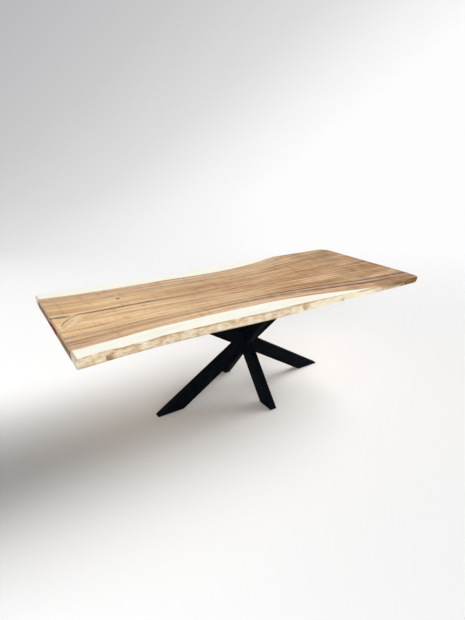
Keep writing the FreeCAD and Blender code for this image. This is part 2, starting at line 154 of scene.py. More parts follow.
def ring_faces(points, rings, closed=False):
    """Faces round a run of rings: quads between neighbours and, unless it is closed, a face on each end.

    All are turned over if the quads enclose a negative volume about the middle of the points.
    """
    index = np.arange(len(points)).reshape(rings, -1)
    quads = quads_between(index, wrap_rows=closed, wrap_columns=True)
    a, b, c, d = (points[quads[:, corner]] - points.mean(axis=0) for corner in range(4))
    volume = np.sum(a * np.cross(b, c)) + np.sum(a * np.cross(c, d))
    faces = quads.tolist()
    if not closed:
        faces += [index[0, ::-1].tolist(), index[-1].tolist()]
    return faces if volume > 0 else [face[::-1] for face in faces]


def make_piece(name, points, faces, material, sharp=35):
    """A mesh object at the origin, smooth but for edges that turn by more than the sharp angle."""
    mesh = bpy.data.meshes.new(name)
    mesh.from_pydata(points.tolist(), [], [list(map(int, face)) for face in faces])
    mesh.shade_smooth()
    mesh.set_sharp_from_angle(angle=math.radians(sharp))
    mesh.materials.append(material)
    made = bpy.data.objects.new(name, mesh)
    bpy.context.scene.collection.objects.link(made)
    return made


def node_points(name):
    """All vertices of a CAD node."""
    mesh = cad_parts[name].data
    flat = np.empty(3 * len(mesh.vertices), np.float32)
    mesh.vertices.foreach_get("co", flat)
    return flat.reshape(-1, 3).astype(float)


def rim_on_plane(name, origin, normal):
    """The outer rim of a tube where it is cut by a plane: the hull of the vertices that lie on it."""
    points = node_points(name)
    points = points[np.abs((points - origin) @ normal) < CUT_TOLERANCE]
    level = np.cross(normal, (0, 1, 0)) if abs(normal[1]) < 0.5 else np.array((1.0, 0, 0))
    flat = np.stack([points @ level, points @ np.cross(normal, level)], axis=1)
    return points[convex_hull_2d([tuple(p) for p in flat])]


def weld_bead(path, normal, closed):
    """A rippled bead carried along a flat path: a ring of radius BEAD, pinched a little once a RIPPLE.

    The ring at arc length s has radius BEAD * (1 - PINCH + PINCH * |sin(pi * s / RIPPLE)|) and stands in
    the plane of the path's normal and of its side direction.
    """
    line = np.concatenate([path, path[:1]]) if closed else path
    run = np.concatenate([[0], np.cumsum(np.linalg.norm(np.diff(line, axis=0), axis=1))])
    count = int(run[-1] / RIPPLE * STEPS_PER_RIPPLE)
    s = np.linspace(0, run[-1], count, endpoint=not closed)
    centre = np.stack([np.interp(s, run, line[:, axis]) for axis in range(3)], axis=1)
    ahead = np.gradient(centre, axis=0)
    if closed:
        ahead = np.roll(centre, -1, axis=0) - np.roll(centre, 1, axis=0)
    side = np.cross(ahead, normal)
    side /= np.linalg.norm(side, axis=1, keepdims=True)
    turn = np.linspace(0, 2 * np.pi, BEAD_SIDES, endpoint=False)
    radius = BEAD * (1 - PINCH + PINCH * np.abs(np.sin(np.pi * s / RIPPLE)))
    ring = np.cos(turn)[None, :, None] * side[:, None] + np.sin(turn)[None, :, None] * normal
    points = (centre[:, None] + radius[:, None, None] * ring).reshape(-1, 3)
    return points, ring_faces(points, count, closed)


def add_weld(name, path, normal, closed=True):
    """One bead as a piece of the welded base."""
    points, faces = weld_bead(path, np.asarray(normal, float), closed)
    weld = make_piece(name, points, faces, coat)
    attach(weld, "table")


up = np.array((0.0, 0.0, 1.0))
arm_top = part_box("left_arm")[1].z
for side, arm in ARM_OF.items():
    add_weld(f"weld_plate_{side}", rim_on_plane(arm, np.array((0, 0, arm_top)), up), up)

strut_low, strut_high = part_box("long_strut")
hub = np.array([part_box("left_arm")[1].x, (strut_low.y + strut_high.y) / 2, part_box("right_leg")[1].z])
foot = node_points("long_strut")
foot = foot[np.abs(foot[:, 2] - strut_low.z) < LEVEL_TOLERANCE].mean(axis=0)
strut_way = (hub - foot) * (1, 0, 1) / np.linalg.norm((hub - foot) * (1, 0, 1))
strut_face = np.array((-strut_way[2], 0, strut_way[0]))
tube_depth = 2 * np.abs((node_points("long_strut") - hub) @ strut_face).max()
for half, sign in (("left_arm", 1), ("right_leg", -1)):
    on_face = hub + sign * tube_depth / 2 * strut_face
    add_weld(f"weld_butt_{half}", rim_on_plane(half, on_face, strut_face), strut_face)

cross_low, cross_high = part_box("front_leg")
for x, x_name in ((cross_low.x, "left"), (cross_high.x, "right")):
    for y, y_name in ((strut_low.y, "front"), (strut_high.y, "back")):
        ends = np.array([(x, y, hub[2] - UPRIGHT_RUN), (x, y, hub[2] + UPRIGHT_RUN)])
        add_weld(f"weld_hub_{y_name}_{x_name}", ends, (0, 1, 0), closed=False)

# The feet: a plate closes each leg a few millimetres up inside its walls and is coated with it.
# A zinc-plated hexagon nut is welded on each plate to take the thread of a levelling glide.
dress([f"foot_plate_{side}" for side in SIDES], coat)


def zinc_plate():
    """Zinc-plated steel: bright grey metal with the cloudy, faintly yellow-blue bloom of its chromate."""
    zinc = new_material("zinc_plated_steel")
    place = add_node(zinc, "TexCoord", {}).outputs["Object"]
    bloom = add_node(zinc, "TexNoise", {"Vector": place, "Scale": per_metre(9)[0], "Detail": 3.0})
    scuff = add_node(zinc, "TexNoise", {"Vector": place, "Scale": per_metre(0.8)[0], "Detail": 2.0})
    tint = add_node(
        zinc, "ValToRGB", {"Fac": bloom}, [(0.3, "#AEB4BC"), (0.5, "#C2C4C4"), (0.7, "#C9C3B0")]
    )
    gloss = add_node(zinc, "MapRange", {"Value": scuff, "To Min": 0.26, "To Max": 0.46})
    shade = add_node(zinc, "BsdfPrincipled", {"Base Color": tint, "Metallic": 1.0, "Roughness": gloss})
    add_node(zinc, "OutputMaterial", {"Surface": shade})
    return zinc


zinc = zinc_plate()
dress(["weld_nuts"], zinc)

# The levelling glides: a zinc-plated M10 stud with a spanner collar turns in the nut in each foot.
# Its pivot stands in the socket of a moulded nylon pad, which stays still while the stud turns.
STUD_RADIUS = 0.005
STUD_PITCH = 0.0015
STEPS_PER_PITCH = 8
THREAD_DEPTH = 0.00075
TIP_DRAW = 0.7
COLLAR_FLATS = 0.015
COLLAR_HEIGHT = 0.003
PIVOT_RADIUS = 0.004
SOCKET_FLARE = 0.001
PAD_EDGE = 0.0015
# How far sharp edges are eased, and the gap in which the stud turns.
EASE = 0.0004
TURNING_GAP = 0.0001
ROUND = np.linspace(0, 2 * np.pi, 48, endpoint=False)


def turned(radii, heights, centre):
    """A closed solid of rings: radii and heights are grids of (ring, angle) about an upright axis."""
    x = centre[0] + radii * np.cos(ROUND)
    y = centre[1] + radii * np.sin(ROUND)
    points = np.stack([x, y, heights + 0 * radii], axis=-1).reshape(-1, 3)
    return points, ring_faces(points, len(radii))


def stud_shape(low, high, pad_top, centre):
    """The stud: a round pivot, a hexagon collar and a thread.

    The collar has r = flats / 2 / cos(angle from a flat's middle). The thread has
    r = STUD_RADIUS - THREAD_DEPTH * |2 * frac(z / pitch - angle / turn) - 1|, and over its last pitch the
    tip is drawn in by TIP_DRAW of a pitch.
    """
    shank = pad_top + COLLAR_HEIGHT
    z_thread = np.arange(shank, high, STUD_PITCH / STEPS_PER_PITCH)
    turns = z_thread[:, None] / STUD_PITCH - ROUND / (2 * np.pi)
    thread = STUD_RADIUS - THREAD_DEPTH * np.abs(2 * (turns % 1) - 1)
    taper = np.clip((high - z_thread[:, None]) / STUD_PITCH, 0, 1)
    thread = np.minimum(thread, STUD_RADIUS - STUD_PITCH * (1 - taper) * TIP_DRAW)
    flat = COLLAR_FLATS / 2 / np.cos((ROUND + np.pi / 6) % (np.pi / 3) - np.pi / 6)
    pivot = np.full_like(ROUND, PIVOT_RADIUS)
    seat, tip = pad_top + TURNING_GAP, low + TURNING_GAP
    rings = [pivot - EASE, pivot, pivot, flat - EASE, flat, flat, flat - EASE]
    levels = [tip, tip + EASE, seat, seat, seat + EASE, shank - EASE, shank]
    radii = np.concatenate([np.array(rings), thread])
    heights = np.concatenate([np.array(levels), z_thread])[:, None]
    return turned(radii, heights, centre)


def pad_shape(low, high, rim, centre):
    """The pad: a disc round a socket, its lower edge rounded over and its top crowned down to the rim."""
    bend = np.linspace(0, np.pi / 2, 6)
    radii = [rim - PAD_EDGE + PAD_EDGE * np.sin(bend), rim - PAD_EDGE / 2 * (1 - np.cos(bend))]
    levels = [low + PAD_EDGE * (1 - np.cos(bend)), high - PAD_EDGE / 2 * (1 - np.sin(bend))]
    socket = PIVOT_RADIUS + TURNING_GAP
    inner = np.array([socket + SOCKET_FLARE, socket, socket])
    depth = np.array([high, high - EASE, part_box("glide_stud_left")[0].z])
    radii = np.concatenate([*radii, inner])
    heights = np.concatenate([*levels, depth])
    return turned(radii[:, None] + 0 * ROUND, heights[:, None], centre)


def nylon():
    """Black nylon from a mould: dull, a touch grey, with a fine spark-eroded texture."""
    material = new_material("black_moulded_nylon")
    place = add_node(material, "TexCoord", {}).outputs["Object"]
    # The real texture is about 0.1 mm fine. It is drawn coarser, so that it shows.
    grit = add_node(material, "TexNoise", {"Vector": place, "Scale": per_metre(0.6)[0], "Detail": 3.0})
    tint = add_node(material, "ValToRGB", {"Fac": grit}, [(0.3, "#151516"), (0.7, "#242426")])
    relief = add_node(material, "Bump", {"Height": grit, "Strength": 0.3, "Distance": 0.0002})
    shade = add_node(
        material, "BsdfPrincipled", {"Base Color": tint, "Roughness": 0.55, "Normal": relief, "IOR": 1.53}
    )
    add_node(material, "OutputMaterial", {"Surface": shade})
    return material


pad_nylon = nylon()
for side in SIDES:
    pad_low, pad_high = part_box(f"glide_pad_{side}")
    stud_low, stud_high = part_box(f"glide_stud_{side}")
    middle = (pad_low + pad_high) / 2
    points, faces = stud_shape(stud_low.z, stud_high.z, pad_high.z, middle)
    stud = make_piece(f"threaded_stud_{side}", points, faces, zinc)
    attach(stud, f"{side}_stud")
    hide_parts(f"glide_stud_{side}")
    points, faces = pad_shape(pad_low.z, pad_high.z, (pad_high.x - pad_low.x) / 2, middle)
    pad = make_piece(f"moulded_pad_{side}", points, faces, pad_nylon)
    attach(pad, f"{side}_pad")
    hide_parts(f"glide_pad_{side}")

# The slab: one plank, 55 mm thick, sawn lengthwise out of a rain tree trunk, with both bark edges kept.
# The bark is peeled off, the top planed, sanded and oiled, and the two ends are sawn square.
slab_low, slab_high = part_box("slab")
HALF_LENGTH = slab_high.x
THICKNESS = slab_high.z - slab_low.z
LEFT_CORNER = 0.010
FRONT_RIGHT_CORNER = 0.035
BACK_RIGHT_CORNER = 0.070
TOP_ARRIS = 0.0025
LOW_ARRIS = 0.004
# The arris of the left end is rounder, and grows so over the last stretch of the edges beside it.
END_ARRIS = 0.009
END_STRETCH = 0.05
# The front edge turns under towards the right end: where that starts, how far off the middle it begins
# and is full, and by how much both arrises grow.
WANE_START = 0.55
WANE_ASIDE = (0.40, 0.48)
TOP_WANE = 0.010
LOW_WANE = 0.020
# The peeled edges belly out. Their relief fades to none at the corners, to a rest of it at the arrises.
BELLY = 0.003
CORNER_FADE = 0.02
ARRIS_FADE = 0.12
ARRIS_REST = 0.25
# The waves of the peeled edges: length and rise.
EDGE_WAVES = ((0.42, 0.0022), (0.17, 0.0016), (0.07, 0.0010), (0.031, 0.0005))
# Knots on the peeled edges: along X, height, radius, depth of colour, and the colours of ring and heart.
FRONT_KNOTS = (
    (-1.042, 0.739, 0.013, 0.75, "#6E4C2C", "#B08A58"), (0.150, 0.747, 0.014, 0.50, "#9A7A50", "#C8B48C"),
    (0.450, 0.735, 0.012, 0.55, "#F4EBD8", "#7E6E5C"), (1.044, 0.748, 0.016, 1.00, "#A88C66", "#24170E"),
)
BACK_KNOTS = (
    (-0.62, 0.742, 0.013, 0.60, "#7A5A3E", "#A8977A"), (0.31, 0.752, 0.011, 0.50, "#8A6A48", "#A8977A"),
    (0.93, 0.738, 0.014, 0.80, "#76563A", "#5A4028"),
)
# Stations at which the CAD slab's edges are read, and how far off its middle an edge lies at least.
EDGE_STATIONS = np.linspace(-HALF_LENGTH + 0.02, HALF_LENGTH - 0.08, 12)
EDGE_ASIDE = 0.38
# The mesh: columns along the plank, rows across it and down its side, and how the rows crowd at the pith.
COLUMNS_BETWEEN = 390
ROWS = 80
SIDE_ROWS = 11
CROWDING = 1.6
CROWD_MIDDLE = 0.52
CROWD_WIDTH = 0.13


def curve_through(knots, values, x):
    """A smooth line through the values: a cubic between knots, each knot's slope read from both sides."""
    knots, values = np.asarray(knots), np.asarray(values)
    slopes = np.gradient(values, knots)
    at = np.clip(np.searchsorted(knots, x) - 1, 0, len(knots) - 2)
    step = knots[at + 1] - knots[at]
    t = (x - knots[at]) / step
    start = (2 * t**3 - 3 * t**2 + 1) * values[at] + (t**3 - 2 * t**2 + t) * step * slopes[at]
    return start + (3 * t**2 - 2 * t**3) * values[at + 1] + (t**3 - t**2) * step * slopes[at + 1]


def live_edge(x, side, height):
    """Y of the slab's front (-1) or back (1) edge at a level, read from the CAD slab at even stations."""
    rim = node_points("slab")
    rim = rim[(np.abs(rim[:, 2] - height) < LEVEL_TOLERANCE) & (rim[:, 1] * side > EDGE_ASIDE)]
    rim = rim[np.argsort(rim[:, 0])]
    return curve_through(EDGE_STATIONS, np.interp(EDGE_STATIONS, rim[:, 0], rim[:, 1]), x)


def corner_cut(x, left_radius, right_radius):
    """How far rounded corners draw an edge in: r - sqrt(r^2 - d^2), with x past the arc's start by d."""
    radius = np.where(x < 0, left_radius, right_radius)
    past = np.clip(np.abs(x) - (HALF_LENGTH - radius), 0, radius)
    return radius - np.sqrt(radius**2 - past**2)


def peeled_edge(x, height, knots, seed):
    """How far a peeled edge stands out: slow waves and hand-sized ripples, and a burl round each knot.

    A wave of length L is sin(2 pi x / L + a bend) * cos(2 pi z / (0.45 L)), where the bend is
    1.4 sin(2 pi x / (2.7 L)); a knot of radius r at distance d, with x shrunk by 1.3, adds
    0.35 r exp(-(d / r)^2) and takes 0.45 r exp(-(d / 0.45 r)^2).
    """
    draw = np.random.default_rng(seed)
    total = 0 * x
    for length, rise in EDGE_WAVES:
        bend, lean, phase = draw.uniform(0, 2 * np.pi, 3)
        bent = 2 * np.pi * x / length + 1.4 * np.sin(2 * np.pi * x / (2.7 * length) + bend) + lean
        total = total + rise * np.sin(bent) * np.cos(2 * np.pi * height / (0.45 * length) + phase)
    for knot_x, knot_z, radius, *_ in knots:
        far = ((x - knot_x) / 1.3) ** 2 + (height - knot_z) ** 2
        total = total + 0.35 * radius * np.exp(-far / radius**2)
        total = total - 0.45 * radius * np.exp(-far / (0.45 * radius) ** 2)
    return total


def smooth_step(value, low, high):
    """From 0 at low to 1 at high: t^2 * (3 - 2 t), t being the share of the way."""
    t = np.clip((value - low) / (high - low), 0, 1)
    return t**2 * (3 - 2 * t)


def arrises(outline):
    """Radii of the top and the low arris along the outline.

    The top arris grows to END_ARRIS at the left end, by a smooth step over the END_STRETCH. Both grow by
    the wane at the right front corner, a smooth step in x from WANE_START times one in y off the middle.
    """
    sawn = smooth_step(-outline[:, 0], HALF_LENGTH - END_STRETCH, HALF_LENGTH - LEFT_CORNER)
    wane = smooth_step(outline[:, 0], WANE_START, HALF_LENGTH) * smooth_step(-outline[:, 1], *WANE_ASIDE)
    top = TOP_ARRIS + (END_ARRIS - TOP_ARRIS) * sawn + TOP_WANE * wane
    return top, LOW_ARRIS + LOW_WANE * wane


def slab_columns():
    """X of the grid's columns: even along the plank, crowded where the corners are rounded."""
    arc = 1 - np.cos(np.linspace(0, np.pi / 2, 9))
    left = -HALF_LENGTH + LEFT_CORNER * arc
    right = HALF_LENGTH - BACK_RIGHT_CORNER * arc[::-1]
    return np.concatenate([left[:-1], np.linspace(left[-1], right[0], COLUMNS_BETWEEN), right[1:]])


def slab_rows():
    """Shares of the width for the grid's rows, closer together near the pith where the figure is finest."""
    share = np.linspace(0, 1, 400)
    density = 1 + CROWDING * np.exp(-(((share - CROWD_MIDDLE) / CROWD_WIDTH) ** 2))
    total = np.concatenate([[0], np.cumsum((density[1:] + density[:-1]) / 2)])
    return np.interp(np.linspace(0, total[-1], ROWS), total, share)


def slab_plan(height):
    """The plan grid at one level: each column's points lie between the front and the back live edge."""
    x = slab_columns()
    front = live_edge(x, -1, height) + corner_cut(x, LEFT_CORNER, FRONT_RIGHT_CORNER)
    back = live_edge(x, 1, height) - corner_cut(x, LEFT_CORNER, BACK_RIGHT_CORNER)
    across = front[:, None] + slab_rows() * (back - front)[:, None]
    return np.stack([np.broadcast_to(x[:, None], across.shape), across], axis=-1)


def slab_mesh():
    """The plank: a side profile carried round the plan's outline, closed by a grid above and below.

    The profile rounds over at the top arris, runs down between the edge lines of the two faces and rounds
    under. On the live edges it also swells by BELLY * sin(pi * height) and by the peeled edge's relief.
    Returns points, quads and, for each point, how far it belongs to a peeled edge, 0 to 1.
    """
    above, below = slab_plan(slab_high.z), slab_plan(slab_low.z)
    columns, rows = above.shape[:2]
    along, across = np.arange(columns), np.arange(1, rows)
    ring_i = np.concatenate([along, 0 * across + columns - 1, along[-2::-1], 0 * across[:-1]])
    ring_j = np.concatenate([0 * along, across, 0 * along[1:] + rows - 1, across[-2::-1]])
    ring_top, ring_low = above[ring_i, ring_j], below[ring_i, ring_j]
    ahead = np.roll(ring_top, -1, axis=0) - np.roll(ring_top, 1, axis=0)
    out = np.stack([ahead[:, 1], -ahead[:, 0]], axis=1)
    out /= np.linalg.norm(out, axis=1, keepdims=True)

    bend = np.linspace(0, np.pi / 2, 5)[:, None]
    top, low = arrises(ring_top)
    middle = top + (THICKNESS - low - top) * np.linspace(0, 1, SIDE_ROWS + 2)[1:-1, None]
    drop = np.concatenate([top * (1 - np.cos(bend)), middle, THICKNESS - low * (1 - np.sin(bend))])
    inset = np.concatenate([top * (1 - np.sin(bend)), 0 * middle, low * (1 - np.cos(bend))])
    share = drop / THICKNESS
    x = ring_top[:, 0]
    corner = np.where(x < 0, LEFT_CORNER, np.where(ring_j == 0, FRONT_RIGHT_CORNER, BACK_RIGHT_CORNER))
    long_side = (ring_j == 0) | (ring_j == rows - 1)
    live = np.clip((HALF_LENGTH - corner - np.abs(x)) / CORNER_FADE, 0, 1) * long_side
    height = slab_high.z - drop
    front = peeled_edge(x[None], height, FRONT_KNOTS, 11)
    back = peeled_edge(x[None], height, BACK_KNOTS, 12)
    relief = np.where(ring_j == 0, front, back) + BELLY * np.sin(np.pi * share)
    fade = np.clip(np.minimum(share, 1 - share) / ARRIS_FADE, ARRIS_REST, 1)
    stand = relief * fade * live - inset
    flat = ring_top + share[..., None] * (ring_low - ring_top) + stand[..., None] * out
    skin = np.concatenate([flat, height[..., None]], axis=-1)

    count = len(ring_i)
    points = [skin.reshape(-1, 3)]
    quads = [quads_between(np.arange(skin.size // 3).reshape(-1, count), wrap_columns=True)[:, ::-1]]
    for level, turn in ((0, -1), (len(drop) - 1, 1)):
        # The top or the underside: inner points between the rim's front and back, by the rows' shares.
        rim = skin[level]
        front_rim, back_rim = rim[:columns], rim[columns + rows - 2:2 * columns + rows - 2][::-1]
        inner = front_rim[:, None] + slab_rows()[:, None] * (back_rim - front_rim)[:, None]
        start = sum(map(len, points))
        numbers = np.empty((columns, rows), int)
        numbers[ring_i, ring_j] = count * level + np.arange(count)
        numbers[1:-1, 1:-1] = start + np.arange((columns - 2) * (rows - 2)).reshape(columns - 2, rows - 2)
        points.append(inner[1:-1, 1:-1].reshape(-1, 3))
        quads.append(quads_between(numbers)[:, ::turn])
    on_side = np.clip(1 - inset / np.where(share < 0.5, top, low), 0, 1)
    points = np.concatenate(points)
    peeled = np.zeros(len(points))
    peeled[:on_side.size] = (on_side * long_side).ravel()
    return points, np.concatenate(quads), peeled


# Lines along the plank at even stations from its left end to its right: where the brown heartwood ends
# in pale sapwood at the front and at the back, and the pith, which the long check follows.
STATIONS = np.linspace(-1.2, 1.2, 13)
HEART_FRONT = -np.array((387, 373, 355, 350, 354, 359, 370, 400, 439, 489, 540, 565, 585)) / 1000
HEART_BACK = np.array((435, 404, 391, 382, 376, 363, 356, 367, 403, 466, 530, 575, 600)) / 1000
PITH = np.array((76, 50, 45, 33, 15, 0, -5, -8, -10, -12, -14, -15, -15)) / 1000
PITH_HEIGHT = 0.738
PITH_CORE = 0.06
RING_REACH = 0.38
# The crotch beside the left end, where a branch left the trunk: middle, direction and half length. Its
# dark strokes: place across it, bend, half width, depth of colour, and where each starts and ends along it.
CROTCH = (-1.111, -0.024)
CROTCH_TURN = math.radians(50)
CROTCH_LENGTH = 0.105
CROTCH_STROKES = (
    (0.027, -2.4, 0.0075, 0.80, -0.090, 0.108), (0.012, -1.3, 0.0030, 0.40, -0.080, 0.050),
    (-0.002, -0.1, 0.0055, 0.60, -0.105, 0.040), (-0.018, 0.3, 0.0035, 0.30, -0.120, 0.020),
    (-0.050, 1.2, 0.0060, 0.35, -0.150, 0.010),
)
STROKE_CORE = 0.4
STROKE_TAPER = 0.03


def grain_places(points):
    """Each point in the tree's own terms: along the trunk, across its rings, and height.

    Across is 0 at the pith and RING_REACH at both ends of the heartwood, signed front to back, and is
    bent down the rings as across * sqrt(1 + h^2 / (across^2 + PITH_CORE^2)), h being the height over the
    pith. Also how far each point lies past the heartwood, and its place in the crotch: along the branch,
    across it, and a share that fades as exp(-(along / CROTCH_LENGTH)^4).
    """
    x, y, z = points.T
    front, back, pith = (curve_through(STATIONS, line, x) for line in (HEART_FRONT, HEART_BACK, PITH))
    flat = np.where(y < pith, (y - pith) / (pith - front), (y - pith) / (back - pith)) * RING_REACH
    rings = flat * np.sqrt(1 + (z - PITH_HEIGHT) ** 2 / (flat**2 + PITH_CORE**2))
    aside_x, aside_y = x - CROTCH[0], y - CROTCH[1]
    length = aside_x * math.cos(CROTCH_TURN) + aside_y * math.sin(CROTCH_TURN)
    width = aside_y * math.cos(CROTCH_TURN) - aside_x * math.sin(CROTCH_TURN)
    inside = np.exp(-((length / CROTCH_LENGTH) ** 4))
    past = np.maximum(front - y, y - back)
    return np.stack([x, rings, z], axis=1), past, np.stack([length, width, inside], axis=1)


# How far noise moves the fibres, the dark front lines and the strokes of the crotch.
FIBRE_WANDER = 0.018
LINE_WANDER = 0.008
STROKE_WANDER = 0.012
# The noise patterns of the wood: what each follows, its size in millimetres along, across and down, its
# detail and its roughness. Real pores are about 0.2 mm wide and are drawn coarser, so that they show.
FIGURE = {
    "soft": ("grain", (700, 110, 400), 3.0, 0.55),
    "cloud": ("grain", (260, 90, 200), 4.0, 0.55),
    "blotch": ("grain", (110, 60, 80), 3.0, 0.55),
    "drift": ("grain", (600, 90, 300), 2.0, 0.55),
    "gaps": ("grain", (900, 60, 300), 2.0, 0.55),
    # This pattern draws painted glints, a sheen laid on as colour.
    "painted_glint": ("grain", (38, 120, 100), 3.0, 0.55),
    "sap_edge": ("grain", (60, 12, 30), 3.0, 0.55),
    "sap_cloud": ("grain", (300, 40, 60), 3.0, 0.55),
    "broad": ("fibres", (1300, 55, 150), 2.0, 0.55),
    "dash": ("fibres", (150, 13, 60), 2.0, 0.55),
    "streak": ("fibres", (800, 17, 60), 4.0, 0.60),
    "line": ("fibres", (480, 7.5, 30), 3.0, 0.65),
    "pore": ("fibres", (26, 1.1, 1.1), 1.0, 0.55),
    "ragged": ("crotch", (30, 12, 30), 3.0, 0.55),
    "bristle": ("place", (9, 9, 9), 3.0, 0.55),
    "mottle": ("place", (42, 42, 26), 4.0, 0.55),
    "bast": ("place", (120, 60, 7), 4.0, 0.60),
    "damp": ("place", (90, 90, 20), 3.0, 0.55),
}
# Places that such a pattern moves: what is moved, by which pattern, and how far.
MOVED = {
    "lane": ("level", "drift", LINE_WANDER),
    "across": ("width", "ragged", STROKE_WANDER),
    "past_heart": ("sapwood", "sap_edge", 0.010),
    "brush": ("y", "bristle", 0.012),
}
# The heartwood's own tones, from the front of the plank to its back.
HEART_TONES = (
    (0.00, "#D7BB9F"), (0.05, "#D6B595"), (0.08, "#D1B090"), (0.12, "#D2B18F"), (0.19, "#CBA883"),
    (0.26, "#C6A47D"), (0.36, "#C59E75"), (0.46, "#C09971"), (0.56, "#C49F76"), (0.66, "#BE9B73"),
    (0.74, "#C6A57E"), (0.80, "#C4A580"), (0.88, "#C9AA87"), (0.95, "#C7AA8A"), (1.00, "#CBB498"),
)
# What is laid over them in turn: a colour, how it is mixed, and its limits. A limit is a value's name,
# where its step starts and where it is full, and what it counts there if that isn't 0 and 1.
HEART_LAYERS = (
    # The left end is paler and more golden, but for its front and back.
    ("#E9C99D", "MIX", ("x", -0.25, -0.90), ("soft", 0.25, 0.48), ("share", 0.08, 0.26),
     ("share", 0.82, 0.66, 0.2, 1.0)),
    # So are the front up to the middle, and a strip along the front of the right half.
    ("#E9C99D", "MIX", ("x", 0.12, -0.35, 0.0, 0.5), ("x", -1.05, -0.70, 0.2, 1.0), ("share", 0.32, 0.22)),
    ("#EAC6A2", "MIX", ("x", 0.30, 0.60, 0.0, 0.55), ("x", 1.00, 0.85), ("share", 0.10, 0.06)),
    # The right end is browner, cloudy and blotched.
    ("#98784F", "MIX", ("x", 0.25, 1.10, 0.06, 0.75), ("cloud", 0.36, 0.60)),
    ("#C4A283", "MULTIPLY", ("blotch", 0.52, 0.66), ("x", 0.45, 1.00, 0.0, 0.5)),
    ("#FAF5E7", "MULTIPLY", ("x", -0.30, 0.60, 0.0, 0.7)),
    ("#F3EEE9", "MULTIPLY", ("x", 0.85, 1.08)),
)
# Dark lines that run the plank's length along the front, faint on the left and deep on the right: place
# across the heartwood, half width, strength on the left and on the right, and where that is full. They
# are darkest in their core, grow over a length and are fainter in gaps.
FRONT_LINES = (
    (0.022, 0.0080, 0.30, 0.15, 0.20), (0.086, 0.0060, 0.30, 0.30, 0.20),
    (0.103, 0.0140, 0.45, 1.00, 0.20), (0.141, 0.0050, 0.30, 0.20, 0.20),
    (0.160, 0.0145, 0.45, 1.00, 0.40), (0.183, 0.0050, 0.30, 0.30, 0.50),
    (0.138, 0.0500, 0.00, 0.15, 0.45),
)
LINE_CORE = 0.6
LINE_GROWTH = 0.8
LINE_GAPS = (("gaps", 0.28, 0.42, 0.75, 1.0), ("x", 1.08, 0.80, 0.7, 1.0))
# The streaks are plainest in the middle of the plank.
STREAK_FADES = (("x", -0.60, -0.10, 0.5, 0.95), ("x", 0.90, 0.30, 0.5, 1.0))
FINE_LAYERS = (
    # Broad bands, short dark dashes, streaks as wide as a thumb, growth lines and open pores.
    ("#D9BFA3", "MULTIPLY", ("broad", 0.50, 0.64, 0.0, 0.40)),
    ("#B8967A", "MULTIPLY", ("dash", 0.60, 0.70, 0.0, 0.55)),
    ("#C6A585", "MULTIPLY", ("streak", 0.50, 0.62), *STREAK_FADES),
    ("#EAD6B4", "MIX", ("streak", 0.49, 0.36, 0.0, 0.48), *STREAK_FADES),
    ("#C4A082", "MULTIPLY", ("line", 0.52, 0.64, 0.0, 0.60)),
    ("#EAD7B6", "MIX", ("line", 0.48, 0.34, 0.0, 0.28)),
    ("#6B4C34", "MIX", ("pore", 0.66, 0.76, 0.0, 0.35)),
    # Painted glints across the grain, orange and darker in turn: the sheen where the fibres weave to and
    # fro, painted as colour.
    ("#D49E68", "MIX", ("painted_glint", 0.52, 0.68, 0.0, 0.28)),
    ("#D0B698", "MULTIPLY", ("painted_glint", 0.46, 0.30, 0.0, 0.35)),
    # The stain beside the pith, which runs on past the end of the check.
    ("#876749", "MIX", ("beside", 0.022, 0.008, 0.0, 0.70), ("x", -0.16, -0.48), ("x", -1.10, -1.04)),
)
# The strokes of the crotch are ragged, and the wood about them is paler.
STROKE_RAGGED = ("ragged", 0.25, 0.45, 0.4, 1.0)
PALE_ASIDE = (0.055, 0.020, 0.0, 0.6)
# Sapwood: its edge with the heartwood is crisp, and faint yellow lines are laid over its cream.
SAP_EDGE = ("past_heart", 0.0035, 0.0075)
SAP_LAYERS = (
    ("#E6DFC8", "MIX", ("line", 0.45, 0.70, 0.0, 0.5)),
    ("#EAE4CF", "MIX", ("sap_cloud", 0.50, 0.70, 0.0, 0.4)),
)
# Pin knots and short dark strokes in the top: along X, along Y, half length, half width, depth of colour.
PIN_KNOTS = (
    (-0.780, 0.188, 0.012, 0.016, 0.90), (0.026, 0.150, 0.009, 0.013, 0.55),
    (-0.258, 0.098, 0.050, 0.010, 0.45), (-0.305, 0.005, 0.060, 0.012, 0.30),
    (0.530, -0.034, 0.070, 0.026, 0.32), (-0.660, 0.096, 0.010, 0.008, 0.30),
    (-1.140, -0.325, 0.060, 0.007, 0.55),
)
# How deep they reach, and where they start and are full, in half lengths and half widths.
PIN_DEPTH = 0.125
PIN_FADE = (1.5, 0.3)
END_LAYERS = (
    # The sawn ends are darker, those of the sapwood less: partly because open fibre ends drink the oil,
    # partly painted shade for an end that faces away from the light.
    ("#B8A67A", "MULTIPLY", "sawn", ("sap", 0.0, 1.0, 0.9, 0.3)),
    # The rounded arris of the left end is painted pale, a painted highlight where it turns away from the
    # light.
    ("#FBE5C0", "MIX", ("facing", -0.20, -0.45, 0.0, 0.65), ("facing", -0.97, -0.85)),
    # A darker rim along the right end is painted shade on its rounded arris.
    ("#8E7358", "MULTIPLY", ("x", 1.176, 1.196, 0.0, 0.8)),
    # A swipe of red end-sealing paint on the lower half of the left end runs out thin towards the back.
    ("#900014", "MIX", ("brush", -0.082, -0.072), ("slant", 2.735, 2.715), ("z", 0.763, 0.756),
     ("x", -1.1975, -1.1990)),
)
# How much further back the swipe of paint reaches for each metre lower down.
PAINT_SLANT = 3.5
